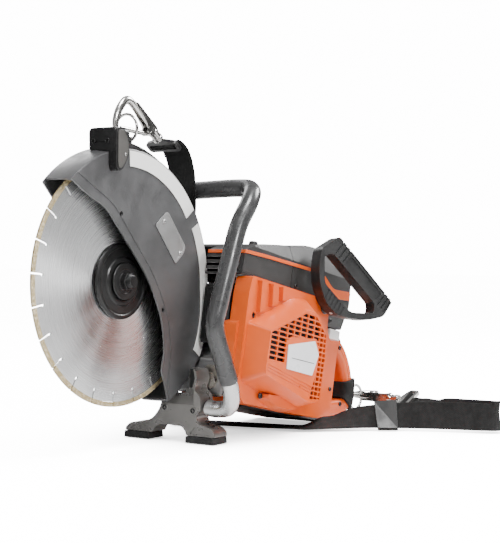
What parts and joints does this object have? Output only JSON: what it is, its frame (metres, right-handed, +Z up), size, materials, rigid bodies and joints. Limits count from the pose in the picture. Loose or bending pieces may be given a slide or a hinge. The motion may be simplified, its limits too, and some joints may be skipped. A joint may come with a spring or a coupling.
{
  "type": "rescue saw",
  "caption": "Two-stroke power cutter with a slotted disc blade on a belt arm, turning guard, wrap-round handle, front stand and carrying strap.",
  "frame": {"origin": "on the floor, under the middle of the saw without its strap", "axes": "+X forward towards the blade, +Y to the operator's left, +Z up"},
  "size_m": [0.7822, 0.4754, 0.498],
  "materials": {
    "orange_plastic": "satin moulded nylon, bright orange",
    "charcoal_plastic": "fine-grained charcoal moulding",
    "guard_paint": "satin dark grey coating on a cast shell",
    "black_coating": "satin black coating",
    "black_plastic": "matte black moulding",
    "rubber": "matte black rubber",
    "handle_sleeve": "satin dark grey vinyl grip",
    "cast_aluminium": "sand-cast, slightly rough",
    "tube_aluminium": "polished tube",
    "machined_steel": "turned and ground",
    "hook_chrome": "bright plating",
    "blade_steel": "circular brushed core with a sand-gold gritted rim",
    "stand_casting": "satin dark grey coating on a casting",
    "webbing": "woven nylon webbing",
    "white_film": "white film",
    "silver_film": "light grey film",
    "filter_paper": "pleated paper",
    "porcelain": "glazed insulator",
    "piston_aluminium": "turned",
    "starter_cord": "braided cord",
    "red_plastic": "red moulding"
  },
  "bodies": {
    "power_unit": {"crankcase": "cast_aluminium", "cylinder": "cast_aluminium", "spark_plug": "porcelain", "muffler": "black_coating", "carburettor": "cast_aluminium", "air_filter": "filter_paper", "starter_cover": "orange_plastic", "cylinder_cover": "charcoal_plastic", "air_filter_cover": "charcoal_plastic", "accent_strip": "orange_plastic", "fuel_tank": "orange_plastic", "rear_handle": "orange_plastic", "front_handle_tube": "tube_aluminium", "front_handle_sleeve": "handle_sleeve", "stand": "stand_casting", "stand_pad_left": "rubber", "stand_pad_right": "rubber", "cutting_arm": "cast_aluminium", "belt_guard": "charcoal_plastic", "drive_belt": "rubber", "spindle_bearing": "machined_steel", "starter_badge": "silver_film", "strap_webbing": "webbing", "strap_slider": "cast_aluminium", "rear_cuff": "webbing", "rear_damper": "silver_film", "rear_ring": "hook_chrome", "rear_hook_eye": "hook_chrome"},
    "blade_assembly": {"blade": "blade_steel", "outer_flange": "black_coating", "inner_flange": "black_coating", "blade_bolt": "black_coating", "spindle": "machined_steel", "driven_pulley": "cast_aluminium"},
    "clutch_drum": {"clutch_drum": "machined_steel"},
    "crank": {"crankshaft": "machined_steel", "flywheel": "cast_aluminium", "clutch_hub": "machined_steel"},
    "guard": {"guard_shell": "guard_paint", "guard_handle": "black_plastic", "guard_band": "white_film", "guard_reflector": "silver_film", "guard_plate": "silver_film", "top_ring": "hook_chrome", "top_hook_eye": "hook_chrome"},
    "top_hook": {"top_hook_body": "hook_chrome"},
    "top_gate": {"top_hook_gate": "hook_chrome"},
    "rear_hook": {"rear_hook_body": "hook_chrome"},
    "rear_gate": {"rear_hook_gate": "hook_chrome"},
    "piston": {"piston": "piston_aluminium"},
    "trigger": {"throttle_trigger": "black_plastic"},
    "lock_lever": {"throttle_lock": "black_plastic"},
    "starter_grip": {"starter_handle": "rubber", "starter_rope": "starter_cord"},
    "rope_pulley": {"starter_pulley": "black_plastic"},
    "decompression_button": {"decompression_valve": "charcoal_plastic"},
    "choke": {"choke_knob": "black_plastic"},
    "stop_slider": {"stop_switch": "red_plastic"},
    "filler_cap": {"fuel_cap": "charcoal_plastic"}
  },
  "joints": [
    {"name": "blade_spin", "type": "hinge", "parent": "power_unit", "child": "blade_assembly", "pos_m": [0.171, -0.033, 0.235], "axis": [0, 1, 0], "continuous": true},
    {"name": "clutch_drum_spin", "type": "hinge", "parent": "power_unit", "child": "clutch_drum", "pos_m": [-0.064, -0.033, 0.12], "axis": [0, 1, 0], "continuous": true},
    {"name": "crank_spin", "type": "hinge", "parent": "power_unit", "child": "crank", "pos_m": [-0.064, -0.033, 0.12], "axis": [0, 1, 0], "continuous": true},
    {"name": "guard_tilt", "type": "hinge", "parent": "power_unit", "child": "guard", "pos_m": [0.171, -0.033, 0.235], "axis": [0, 1, 0], "range_deg": [-6, 40], "deforming": ["strap_webbing"]},
    {"name": "top_hook_turn", "type": "hinge", "parent": "guard", "child": "top_hook", "pos_m": [0.036, -0.063, 0.433], "axis": [0.7827, 0, 0.6224], "range_deg": [-12, 12], "deforming": ["strap_webbing"]},
    {"name": "top_gate_open", "type": "hinge", "parent": "top_hook", "child": "top_gate", "pos_m": [0.07181, -0.063, 0.44742], "axis": [0, -1, 0], "range_deg": [0, 12], "stiffness_Nm_per_rad": 0.05, "springref_deg": -17.19},
    {"name": "rear_hook_turn", "type": "hinge", "parent": "power_unit", "child": "rear_hook", "pos_m": [-0.374, 0.117, 0.029], "axis": [-0.0611, -0.9979, 0.0204], "range_deg": [-12, 12]},
    {"name": "rear_gate_open", "type": "hinge", "parent": "rear_hook", "child": "rear_gate", "pos_m": [-0.38724, 0.08075, 0.02974], "axis": [0, 0.0204, 0.9998], "range_deg": [0, 12], "stiffness_Nm_per_rad": 0.05, "springref_deg": -17.19},
    {"name": "piston_stroke", "type": "slide", "parent": "power_unit", "child": "piston", "axis": [-0.2079, 0, 0.9781], "range_m": [-0.019, 0.019]},
    {"name": "trigger_press", "type": "hinge", "parent": "power_unit", "child": "trigger", "pos_m": [-0.27669, 0.017, 0.11057], "axis": [0, 1, 0], "range_deg": [0, 12], "stiffness_Nm_per_rad": 0.2, "springref_deg": -22.92},
    {"name": "lock_press", "type": "hinge", "parent": "power_unit", "child": "lock_lever", "pos_m": [-0.29081, 0.017, 0.14335], "axis": [0, -1, 0], "range_deg": [0, 4], "stiffness_Nm_per_rad": 0.2, "springref_deg": -22.92},
    {"name": "starter_pull", "type": "slide", "parent": "power_unit", "child": "starter_grip", "axis": [-0.6903, 0.068, 0.7203], "range_m": [0, 0.65], "stiffness_N_per_m": 15, "springref_m": -0.35, "deforming": ["starter_rope"]},
    {"name": "rope_pulley_spin", "type": "hinge", "parent": "power_unit", "child": "rope_pulley", "pos_m": [-0.064, -0.033, 0.12], "axis": [0, -1, 0], "range_deg": [0, 1250]},
    {"name": "decompression_press", "type": "slide", "parent": "power_unit", "child": "decompression_button", "axis": [0.2079, 0, -0.9781], "range_m": [0, 0.004], "stiffness_N_per_m": 300, "springref_m": -0.006},
    {"name": "choke_pull", "type": "slide", "parent": "power_unit", "child": "choke", "axis": [0, -1, 0], "range_m": [0, 0.012]},
    {"name": "stop_slide", "type": "slide", "parent": "power_unit", "child": "stop_slider", "axis": [-0.2079, 0, 0.9781], "range_m": [0, 0.006]},
    {"name": "cap_turn", "type": "hinge", "parent": "power_unit", "child": "filler_cap", "pos_m": [-0.19397, -0.033, 0.08215], "axis": [0, -1, 0], "range_deg": [0, 180]}
  ],
  "couplings": [
    {"joint": "clutch_drum_spin", "follows": "blade_spin", "ratio": 2},
    {"joint": "rope_pulley_spin", "follows": "starter_pull", "rad_per_m": 33.333}
  ]
}
